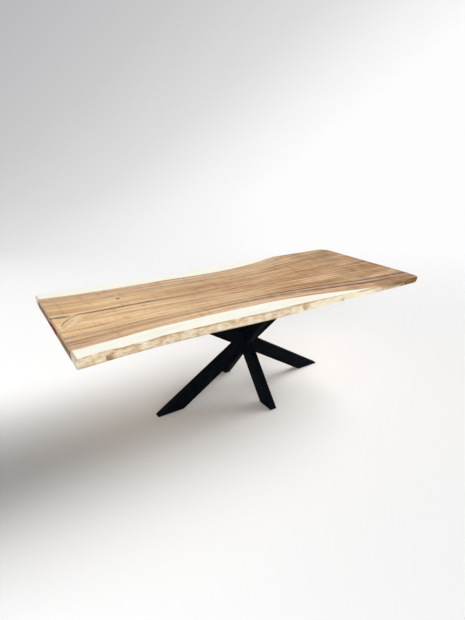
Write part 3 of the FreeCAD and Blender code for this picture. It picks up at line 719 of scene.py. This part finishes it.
# The peeled edge: the layer under the bark, beige and mottled, and brown where it cuts into heartwood.
RIND_TONES = (
    (0.32, "#CDB28D"), (0.43, "#DDC8A5"), (0.50, "#E7D6B8"), (0.58, "#EEE0C7"), (0.68, "#F6EDDB"),
)
BARK_TONES = ((0.32, "#54391F"), (0.46, "#755536"), (0.58, "#907048"), (0.72, "#B08C5E"))
RIND_LAYERS = (
    ("#D8BC96", "MULTIPLY", ("bast", 0.50, 0.66, 0.0, 0.6)),
    # It is palest in a stretch on the right of the middle.
    ("#FBF1D6", "MIX", ("x", -0.10, 0.30, 0.0, 0.72), ("x", 0.86, 0.66)),
    # It is stained brown under the top arris. In its left half it is darker along its foot, painted shade
    # where the edge turns under.
    ("#B98E5C", "MIX", ("rim", 0.760, 0.771, 0.0, 0.75), ("damp", 0.38, 0.55)),
    ("#B4956C", "MULTIPLY", ("z", 0.731, 0.722, 0.0, 0.6), ("x", 0.20, -0.30)),
)
# It turns to bark brown towards the right end, and wholly so at the corner.
BARK_LIMITS = (("x", 0.69, 0.95), ("z", 0.720, 0.768, 0.25, 0.95))
CORNER_LIMITS = (("x", 0.97, 1.02), ("z", 0.720, 0.736, 0.8, 1.0))
# Its upper rim is sanded down to sapwood, deepest in two stretches: where each starts, is deepest from
# and to, and ends, and by how much.
SANDED_STRETCHES = ((-1.10, -0.97, -0.88, -0.72, 0.008), (-0.32, -0.20, -0.08, 0.05, 0.005))
RIND_LIMITS = (("peeled", 0.35, 0.75), ("rim", 0.778, 0.774))
# The knots of the peeled edges: how far off the plank's middle they are placed, how deep they reach in, and
# their height by their length.
EDGE_Y = 0.49
KNOT_DEPTH = 0.25
KNOT_STRETCH = 0.7
# The darker wood about a knot, its ring and its heart: where each starts and is full, in radii that the
# mottle makes ragged. The ring is plain towards one side only, and has a rest of its colour elsewhere.
KNOT_RAGGED = 1.2
KNOT_SHADE = (2.8, 1.7, 0.0, 0.3)
KNOT_RING = (2.1, 1.7)
KNOT_HEART = (1.4, 1.0)
RING_SIDE = (-0.8, 0.0, -0.6)
RING_PLAIN = (-0.6, 0.5)
RING_REST = 0.2


def mask(material, read, *limits):
    """One factor from several limits: the product of a smooth step for each.

    A limit's value is a node, a socket or a name in read. A value without a step counts as it is.
    """
    factor = None
    for limit in limits:
        value, *ends = limit if isinstance(limit, tuple) else (limit,)
        value = read[value] if isinstance(value, str) else value
        if ends:
            start, full, *counts = ends
            inputs = {"Value": value, "From Min": start, "From Max": full}
            inputs["To Min"], inputs["To Max"] = counts or (0.0, 1.0)
            value = add_node(material, "MapRange", inputs, interpolation_type="SMOOTHSTEP")
        if factor is not None:
            value = add_node(material, "Math", {0: factor, 1: value}, operation="MULTIPLY")
        factor = value
    return factor


def lay(material, read, colour, *layers):
    """Layers laid over a colour in turn, each by the mask of its limits."""
    for above, how, *limits in layers:
        inputs = {"Factor": mask(material, read, *limits), "A": colour, "B": above}
        colour = add_node(material, "Mix", inputs, data_type="RGBA", blend_type=how)
    return colour


def wood_places(wood):
    """What the wood's colours are read from, by name: places, the plank's attributes and noise patterns."""
    read = {"place": add_node(wood, "TexCoord", {}).outputs["Object"]}
    for name, output in (("grain", "Vector"), ("crotch", "Vector"), ("sapwood", "Fac"), ("peeled", "Fac")):
        read[name] = add_node(wood, "Attribute", {}, attribute_name=name).outputs[output]
    read["x"], read["y"], read["z"] = add_node(wood, "SeparateXYZ", {"Vector": read["place"]}).outputs
    normal = add_node(wood, "NewGeometry", {}).outputs["Normal"]
    read["facing"] = add_node(wood, "SeparateXYZ", {"Vector": normal}).outputs["X"]
    endwise = add_node(wood, "Math", {0: read["facing"]}, operation="ABSOLUTE")
    read["sawn"] = add_node(wood, "MapRange", {"Value": endwise, "From Min": 0.9, "From Max": 0.98})
    read["level"] = add_node(wood, "SeparateXYZ", {"Vector": read["grain"]}).outputs["Y"]
    read["beside"] = add_node(wood, "Math", {0: read["level"]}, operation="ABSOLUTE")
    branch = add_node(wood, "SeparateXYZ", {"Vector": read["crotch"]})
    read["along"], read["width"], read["inside"] = branch.outputs

    # The fibres wander to either side about twice in a metre.
    slow = add_node(
        wood, "VectorMath", {0: read["grain"], 1: per_metre(640, 240, 300)}, operation="MULTIPLY"
    )
    wander = add_node(wood, "TexNoise", {"Vector": slow, "Scale": 1.0, "Detail": 2.0, "Roughness": 0.55})
    read["fibres"] = add_node(
        wood, "VectorMath", {0: wander.outputs["Color"], 1: (0.0, FIBRE_WANDER, 0.0), 2: read["grain"]},
        operation="MULTIPLY_ADD",
    )
    rings = add_node(wood, "SeparateXYZ", {"Vector": read["fibres"]}).outputs["Y"]
    front, back = FIBRE_WANDER / 2 - RING_REACH, FIBRE_WANDER / 2 + RING_REACH
    read["share"] = add_node(wood, "MapRange", {"Value": rings, "From Min": front, "From Max": back})
    for name, (follows, sizes, detail, rough) in FIGURE.items():
        stretch = {0: read[follows], 1: per_metre(*sizes)}
        scaled = add_node(wood, "VectorMath", stretch, operation="MULTIPLY")
        inputs = {"Vector": scaled, "Scale": 1.0, "Detail": detail, "Roughness": rough}
        read[name] = add_node(wood, "TexNoise", inputs)
    for name, (place, pattern, reach) in MOVED.items():
        inputs = {0: read[pattern], 1: reach, 2: read[place]}
        read[name] = add_node(wood, "Math", inputs, operation="MULTIPLY_ADD")
    return read


def heartwood(wood, read):
    """Heartwood: its tones and what is laid over them, the dark front lines and the fine figure."""
    heart = add_node(wood, "ValToRGB", {"Fac": read["share"]}, HEART_TONES)
    heart = lay(wood, read, heart, *HEART_LAYERS)
    front, back = LINE_WANDER / 2 - RING_REACH, LINE_WANDER / 2 + RING_REACH
    lane = add_node(wood, "MapRange", {"Value": read["lane"], "From Min": front, "From Max": back})
    for centre, half_width, left, right, full in FRONT_LINES:
        aside = add_node(wood, "Math", {0: lane, 1: centre}, operation="SUBTRACT")
        aside = add_node(wood, "Math", {0: aside}, operation="ABSOLUTE")
        growth = ("x", full - LINE_GROWTH, full, left, right)
        core = (aside, half_width, LINE_CORE * half_width)
        heart = lay(wood, read, heart, ("#512F16", "MIX", core, growth, *LINE_GAPS))
    return lay(wood, read, heart, *FINE_LAYERS)


def crotch_strokes(wood, read, heart):
    """Dark strokes in the crotch, each bent as bend * along^2, with paler wood about them."""
    across = add_node(wood, "Math", {0: read["across"], 1: STROKE_WANDER / 2}, operation="SUBTRACT")
    near = add_node(wood, "Math", {0: across}, operation="ABSOLUTE")
    heart = lay(wood, read, heart, ("#EAD0A8", "MIX", (near, *PALE_ASIDE), "inside"))
    square = add_node(wood, "Math", {0: read["along"], 1: read["along"]}, operation="MULTIPLY")
    for place_across, bend, half_width, depth, start, end in CROTCH_STROKES:
        aside = add_node(wood, "Math", {0: square, 1: -bend, 2: across}, operation="MULTIPLY_ADD")
        aside = add_node(wood, "Math", {0: aside, 1: place_across}, operation="SUBTRACT")
        aside = add_node(wood, "Math", {0: aside}, operation="ABSOLUTE")
        heart = lay(wood, read, heart, (
            "#805836", "MIX", (aside, half_width, STROKE_CORE * half_width, 0.0, depth), STROKE_RAGGED,
            ("along", start, start + STROKE_TAPER), ("along", end, end - STROKE_TAPER),
        ))
    return heart


def from_middle(wood, read, middle, scales):
    """A place's way from a middle, each axis times its own scale, and how long that way is."""
    offset = add_node(wood, "VectorMath", {0: read["place"], 1: middle}, operation="SUBTRACT")
    scaled = add_node(wood, "VectorMath", {0: offset, 1: scales}, operation="MULTIPLY")
    return scaled, add_node(wood, "VectorMath", {0: scaled}, operation="LENGTH").outputs["Value"]


def pin_knots(wood, read, colour):
    """Dark spots in the top, which fade with the distance from their middles in half lengths and widths."""
    for knot_x, knot_y, half_length, half_width, depth in PIN_KNOTS:
        scales = (1 / half_length, 1 / half_width, 1 / PIN_DEPTH)
        _, far = from_middle(wood, read, (knot_x, knot_y, slab_high.z), scales)
        colour = lay(wood, read, colour, ("#5E422F", "MIX", (far, *PIN_FADE, 0.0, depth)))
    return colour


def peeled_rind(wood, read):
    """The peeled edge: mottled rind, turning to bark brown at the right end, with its knots."""
    rind = add_node(wood, "ValToRGB", {"Fac": read["mottle"]}, RIND_TONES)
    rind = lay(wood, read, rind, *RIND_LAYERS)
    wane = mask(wood, read, *BARK_LIMITS)
    corner = mask(wood, read, *CORNER_LIMITS)
    wane = add_node(wood, "Math", {0: wane, 1: corner}, operation="MAXIMUM")
    bark = add_node(wood, "ValToRGB", {"Fac": read["bast"]}, BARK_TONES)
    rind = lay(wood, read, rind, (bark, "MIX", wane))
    # Each knot: a heart in a ring that is plain only on its lower left, with darker wood about it.
    for knots, edge in ((FRONT_KNOTS, -EDGE_Y), (BACK_KNOTS, EDGE_Y)):
        for knot_x, knot_z, radius, depth, ring_code, heart_code in knots:
            scales = (KNOT_STRETCH / radius, 1 / KNOT_DEPTH, 1 / radius)
            way, far = from_middle(wood, read, (knot_x, edge, knot_z), scales)
            ragged = {0: read["mottle"], 1: KNOT_RAGGED, 2: far}
            far = add_node(wood, "Math", ragged, operation="MULTIPLY_ADD")
            aside = add_node(wood, "VectorMath", {0: way, 1: RING_SIDE}, operation="DOT_PRODUCT")
            lower_left = aside.outputs["Value"]
            rind = lay(
                wood, read, rind, ("#CDAE84", "MULTIPLY", (far, *KNOT_SHADE)),
                (ring_code, "MIX", (far, *KNOT_RING), (lower_left, *RING_PLAIN, RING_REST * depth, depth)),
                (heart_code, "MIX", (far, *KNOT_HEART, 0.0, depth)),
            )
    return rind


def oiled_wood():
    """Oiled rain tree wood: golden-tan heartwood in long streaks, cream sapwood, satin under thin oil."""
    wood = new_material("oiled_rain_tree_wood")
    read = wood_places(wood)
    heart = crotch_strokes(wood, read, heartwood(wood, read))
    read["sap"] = mask(wood, read, SAP_EDGE)
    sap = lay(wood, read, "#F2F1E4", *SAP_LAYERS)
    colour = pin_knots(wood, read, lay(wood, read, heart, (sap, "MIX", "sap")))

    leaning = {0: read["z"], 1: PAINT_SLANT, 2: read["brush"]}
    read["slant"] = add_node(wood, "Math", leaning, operation="MULTIPLY_ADD")
    colour = lay(wood, read, colour, *END_LAYERS)

    read["rim"] = read["z"]
    for start, full, fading, end, depth in SANDED_STRETCHES:
        sanded = mask(wood, read, ("x", start, full, 0.0, depth), ("x", end, fading))
        read["rim"] = add_node(wood, "Math", {0: read["rim"], 1: sanded}, operation="ADD")
    rind = peeled_rind(wood, read)
    colour = lay(wood, read, colour, (rind, "MIX", *RIND_LIMITS))

    sunk_pores = mask(wood, read, ("pore", 0.66, 0.76, 0.0, -0.7))
    relief = add_node(wood, "Math", {0: read["line"], 1: sunk_pores}, operation="ADD")
    relief = lay(wood, read, relief, (read["mottle"], "MIX", "peeled"))
    skin = add_node(wood, "Bump", {"Height": relief, "Strength": 0.22, "Distance": 0.0012})
    # The oil is satin on the top and nearly gone on the peeled edges and the sawn ends.
    gloss = mask(wood, read, ("streak", 0.3, 0.7, 0.42, 0.56))
    for rough, added in (("peeled", 0.22), ("sawn", 0.3)):
        gloss = add_node(wood, "Math", {0: read[rough], 1: added, 2: gloss}, operation="MULTIPLY_ADD")
    shade = add_node(wood, "BsdfPrincipled", {
        "Base Color": colour, "Roughness": gloss, "Normal": skin, "IOR": 1.47, "Specular IOR Level": 0.25,
    })
    add_node(wood, "OutputMaterial", {"Surface": shade})
    return wood


points, faces, peeled = slab_mesh()
plank = make_piece("live_edge_plank", points, faces, oiled_wood(), sharp=60)
grain, past, crotch = grain_places(points)
plank.data.attributes.new("grain", "FLOAT_VECTOR", "POINT").data.foreach_set("vector", grain.ravel())
plank.data.attributes.new("crotch", "FLOAT_VECTOR", "POINT").data.foreach_set("vector", crotch.ravel())
plank.data.attributes.new("sapwood", "FLOAT", "POINT").data.foreach_set("value", past)
plank.data.attributes.new("peeled", "FLOAT", "POINT").data.foreach_set("value", peeled)
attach(plank, "table")
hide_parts("slab")

# The filled checks: the plank split as it dried, once from its left end and once along the pith.
# Both splits are filled with dark resin, levelled a hair proud of the oiled top.
PROUD = 0.00025
CHECK_RINGS = 240
# The wedge section: across in half widths, and 1 for the crown's height, -1 for the full depth.
WEDGE = np.array(((-1, 0), (-0.5, 0.8), (0, 1), (0.5, 0.8), (1, 0), (0.35, -1), (-0.35, -1)))
# Waves by which a split wanders, in metres, and by which its width comes and goes, as a share.
CHECK_WANDER = ((0.31, 0.0022), (0.13, 0.0012), (0.05, 0.0006))
CHECK_RAGGED = ((0.19, 0.18), (0.07, 0.12), (0.029, 0.06))


def dark_resin():
    """Dark brown casting resin, sanded and oiled over: smooth and clouded with wood dust."""
    resin = new_material("dark_resin")
    place = add_node(resin, "TexCoord", {}).outputs["Object"]
    dust = add_node(resin, "TexNoise", {"Vector": place, "Scale": per_metre(14)[0], "Detail": 5.0})
    # More dust gathered towards the open end of the split, where the fill is paler.
    spot = add_node(resin, "SeparateXYZ", {"Vector": place})
    paler = add_node(resin, "MapRange", {"Value": spot.outputs["X"], "From Min": -1.05, "From Max": -1.15})
    dust = add_node(resin, "Math", {0: paler, 1: 0.13, 2: dust}, operation="MULTIPLY_ADD")
    tint = add_node(
        resin, "ValToRGB", {"Fac": dust}, [(0.36, "#3A2A1C"), (0.50, "#614C36"), (0.64, "#94805F")]
    )
    gloss = add_node(resin, "MapRange", {"Value": dust, "To Min": 0.4, "To Max": 0.6})
    shade = add_node(resin, "BsdfPrincipled", {"Base Color": tint, "Roughness": gloss, "IOR": 1.55})
    add_node(resin, "OutputMaterial", {"Surface": shade})
    return resin


def waves(x, sizes, draw):
    """The sum of rise * sin(2 pi x / length + a drawn phase) over the sizes."""
    return sum(rise * np.sin(2 * np.pi * x / length + draw.uniform(0, 2 * np.pi)) for length, rise in sizes)


def check_fill(x_start, x_end, line, width_at, depth, seed):
    """A filled split: a wedge section carried along a line, crowned above and narrow below.

    The section at x has half width w(x), follows line(x) with a seeded wander of a few millimetres and
    goes down by depth * w / w_max. At the plank's end its top falls with the rounded arris, by
    r - sqrt(r^2 - d^2), d being how far x is past the arc's start.
    """
    draw = np.random.default_rng(seed)
    x = np.linspace(x_start, x_end, CHECK_RINGS)
    middle = line(x) + waves(x, CHECK_WANDER, draw)
    half = width_at(np.linspace(0, 1, CHECK_RINGS)) * (1 + waves(x, CHECK_RAGGED, draw)) / 2
    y = middle[:, None] + half[:, None] * WEDGE[:, 0]
    sunk = depth * (half / half.max())[:, None] * np.minimum(WEDGE[:, 1], 0)
    past = np.clip(END_ARRIS - HALF_LENGTH - x, 0, END_ARRIS)
    fall = END_ARRIS - np.sqrt(END_ARRIS**2 - past**2)
    z = slab_high.z - fall[:, None] + PROUD * np.maximum(WEDGE[:, 1], 0) + sunk
    points = np.stack([np.broadcast_to(x[:, None], y.shape), y, z], axis=-1).reshape(-1, 3)
    return points, ring_faces(points, CHECK_RINGS)


resin = dark_resin()
end_low, end_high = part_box("end_check_resin")
long_low, long_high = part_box("long_check_resin")
CHECKS = {
    "end_check_resin": {
        "x_start": -HALF_LENGTH - PROUD, "x_end": end_high.x, "depth": slab_high.z - end_low.z, "seed": 21,
        "line": lambda x: np.interp(x, (end_low.x, end_high.x), (0.072, 0.042)),
        "width_at": lambda t: 0.028 * (1 - t**4) + 0.0015,
    },
    "long_check_resin": {
        "x_start": -1.06, "x_end": long_high.x, "depth": slab_high.z - long_low.z, "seed": 22,
        "line": lambda x: curve_through(STATIONS, PITH, x),
        "width_at": lambda t: 0.018 * np.sin(np.pi * t**0.75) ** 0.7 + 0.0008,
    },
}
for node, shape in CHECKS.items():
    points, faces = check_fill(**shape)
    fill = make_piece(node.replace("resin", "fill"), points, faces, resin)
    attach(fill, "table")
    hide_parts(node)

# The fixings that hold the slab down: brass inserts screwed into its underside, and a zinc-plated
# hexagon bolt with a wide washer through each oversize hole of the mounting plates.
dress(["mounting_bolts", "mounting_washers"], zinc)


def insert_brass():
    """Turned brass: bright yellow metal, dulled in places by a little tarnish."""
    brass = new_material("turned_brass")
    place = add_node(brass, "TexCoord", {}).outputs["Object"]
    tarnish = add_node(brass, "TexNoise", {"Vector": place, "Scale": per_metre(6)[0], "Detail": 3.0})
    tint = add_node(brass, "ValToRGB", {"Fac": tarnish}, [(0.35, "#A9853F"), (0.65, "#D2AE62")])
    gloss = add_node(brass, "MapRange", {"Value": tarnish, "To Min": 0.25, "To Max": 0.4})
    shade = add_node(brass, "BsdfPrincipled", {"Base Color": tint, "Metallic": 1.0, "Roughness": gloss})
    add_node(brass, "OutputMaterial", {"Surface": shade})
    return brass


dress(["threaded_inserts"], insert_brass())

# The studio: a white sweep, a floor that curves up into a backdrop behind the table, greyed towards the top
# left by painted shade, in soft light from the low right and a weaker fill in front. The camera stands
# where the photograph was taken from, at standing eye height off the left front corner.
CAMERA_PLACE = (-1.5245, -2.2871, 1.6847)
CAMERA_PITCH = math.radians(90 - 21.63)
CAMERA_HEADING = math.radians(-32.6)
IMAGE_HEIGHT = 620
FOCAL_PIXELS = 429.6
SWEEP_HALF_WIDTH = 10.5
SWEEP_FRONT = -9.0
SWEEP_BEND_START = 9.0
SWEEP_RADIUS = 3.0
SWEEP_TOP = 7.0
SWEEP_ROWS = 161
SWEEP_COLUMNS = 41
away = np.array((-math.sin(CAMERA_HEADING), math.cos(CAMERA_HEADING), 0))
aside = np.array((math.cos(CAMERA_HEADING), math.sin(CAMERA_HEADING), 0))
# The backdrop's grey, painted shade: the way along which it turns white, and between which distances that
# way.
GREY_FALL = 0.61 * aside - 0.79 * up
GREY_FROM = -8.1
WHITE_FROM = 1.07
GREY_TONES = (
    (0.00, "#BCBCBE"), (0.31, "#CBCBCC"), (0.59, "#DEDEDF"), (0.78, "#F3F3F3"), (0.93, "#FDFDFD"),
)
# Where the paper goes over from lit to plain behind the table and round about it, and where the grey fades
# out before the sweep's sides and top.
PLAIN_BEHIND = (0.8, 4.5)
PLAIN_ROUND = (3.0, 5.5)
SIDE_FADE = (10.3, 7.4)
TOP_FADE = (7.0, 5.6)
# Each lamp: strength, width of the soft light in degrees, the way to it on the floor, height in degrees.
LAMPS = {"key": (5.05, 38, (1.0, 0.08), 31), "fill": (1.97, 60, (-0.54, -0.84), 7)}
ROOM_GLOW = 0.14


def sweep_points(along, across):
    """The sweep: flat up to where it bends, then a quarter circle, then upright, by length along it."""
    turn = np.clip((along - SWEEP_BEND_START) / SWEEP_RADIUS, 0, math.pi / 2)
    reach = np.minimum(along, SWEEP_BEND_START) + SWEEP_RADIUS * np.sin(turn)
    upright = np.maximum(along - SWEEP_BEND_START - SWEEP_RADIUS * math.pi / 2, 0)
    rise = SWEEP_RADIUS * (1 - np.cos(turn)) + upright
    return reach[..., None] * away + across[..., None] * aside + rise[..., None] * up


def sees_background(material):
    """1 for the rays that show the plain background: from the camera, off gloss and through glass."""
    path = add_node(material, "LightPath", {})
    seen = path.outputs["Is Camera Ray"]
    for kind in ("Is Glossy Ray", "Is Transmission Ray"):
        seen = add_node(material, "Math", {0: seen, 1: path.outputs[kind]}, operation="MAXIMUM")
    return seen


def studio_paper():
    """Matt white background paper, lit like the table near it and, far off, seen as a plain pale tone.

    Behind the table that tone falls from white to light grey up and to the left, against GREY_FALL, as
    painted shade.
    """
    paper = new_material("white_studio_paper")
    place = add_node(paper, "TexCoord", {}).outputs["Object"]
    read = {"height": add_node(paper, "SeparateXYZ", {"Vector": place}).outputs["Z"]}
    for name, way in (("tone", GREY_FALL), ("behind", away), ("side", aside)):
        reach = add_node(paper, "VectorMath", {0: place, 1: tuple(way)}, operation="DOT_PRODUCT")
        read[name] = reach.outputs["Value"]
    read["side"] = add_node(paper, "Math", {0: read["side"]}, operation="ABSOLUTE")
    read["distance"] = add_node(paper, "VectorMath", {0: place}, operation="LENGTH").outputs["Value"]
    tone = add_node(
        paper, "MapRange", {"Value": read["tone"], "From Min": GREY_FROM, "From Max": WHITE_FROM}
    )
    grey = add_node(paper, "ValToRGB", {"Fac": tone}, GREY_TONES)
    tint = lay(
        paper, read, "#FDFDFD",
        (grey, "MIX", ("behind", *PLAIN_BEHIND), ("side", *SIDE_FADE), ("height", *TOP_FADE)),
    )
    behind = mask(paper, read, ("behind", *PLAIN_BEHIND))
    round_about = mask(paper, read, ("distance", *PLAIN_ROUND))
    far = add_node(paper, "Math", {0: behind, 1: round_about}, operation="MAXIMUM")
    plain = add_node(paper, "Math", {0: sees_background(paper), 1: far}, operation="MULTIPLY")
    lit = add_node(paper, "BsdfDiffuse", {"Color": "#F8F8F8", "Roughness": 0.3})
    shown = add_node(paper, "Emission", {"Color": tint})
    both = add_node(paper, "MixShader", {0: plain, 1: lit, 2: shown})
    add_node(paper, "OutputMaterial", {"Surface": both})
    return paper


sweep_end = SWEEP_BEND_START + SWEEP_RADIUS * math.pi / 2 + SWEEP_TOP - SWEEP_RADIUS
sweep_along, sweep_across = np.meshgrid(
    np.linspace(SWEEP_FRONT, sweep_end, SWEEP_ROWS),
    np.linspace(-SWEEP_HALF_WIDTH, SWEEP_HALF_WIDTH, SWEEP_COLUMNS), indexing="ij",
)
sweep_grid = sweep_points(sweep_along, sweep_across).reshape(-1, 3)
sweep_index = np.arange(SWEEP_ROWS * SWEEP_COLUMNS).reshape(SWEEP_ROWS, SWEEP_COLUMNS)
sweep = make_piece("sweep", sweep_grid, quads_between(sweep_index)[:, ::-1], studio_paper(), sharp=180)

room = bpy.data.worlds.new("studio")
room.use_nodes = True
room.node_tree.nodes.clear()
glow = add_node(room, "Background", {"Color": "#FFFFFF", "Strength": ROOM_GLOW})
white = add_node(room, "Background", {"Color": "#FFFFFF", "Strength": 1.0})
both = add_node(room, "MixShader", {0: sees_background(room), 1: glow, 2: white})
add_node(room, "OutputWorld", {"Surface": both})
bpy.context.scene.world = room

for name, (strength, spread, heading, height) in LAMPS.items():
    lamp = bpy.data.lights.new(name, "SUN")
    lamp.energy = strength
    lamp.angle = math.radians(spread)
    shining = bpy.data.objects.new(name, lamp)
    # The oil mirrors the white room and not the lamps, which would leave white patches on the top.
    shining.visible_glossy = False
    rise = math.tan(math.radians(height)) * math.hypot(*heading)
    shining.rotation_euler = Vector((*heading, rise)).to_track_quat("Z", "Y").to_euler()
    bpy.context.scene.collection.objects.link(shining)

camera = bpy.data.cameras.new("camera")
camera.lens = camera.sensor_width * FOCAL_PIXELS / IMAGE_HEIGHT
viewer = bpy.data.objects.new("camera", camera)
viewer.location = CAMERA_PLACE
viewer.rotation_euler = Euler((CAMERA_PITCH, 0, CAMERA_HEADING))
bpy.context.scene.collection.objects.link(viewer)
bpy.context.scene.camera = viewer
bpy.context.scene.view_settings.view_transform = "Standard"
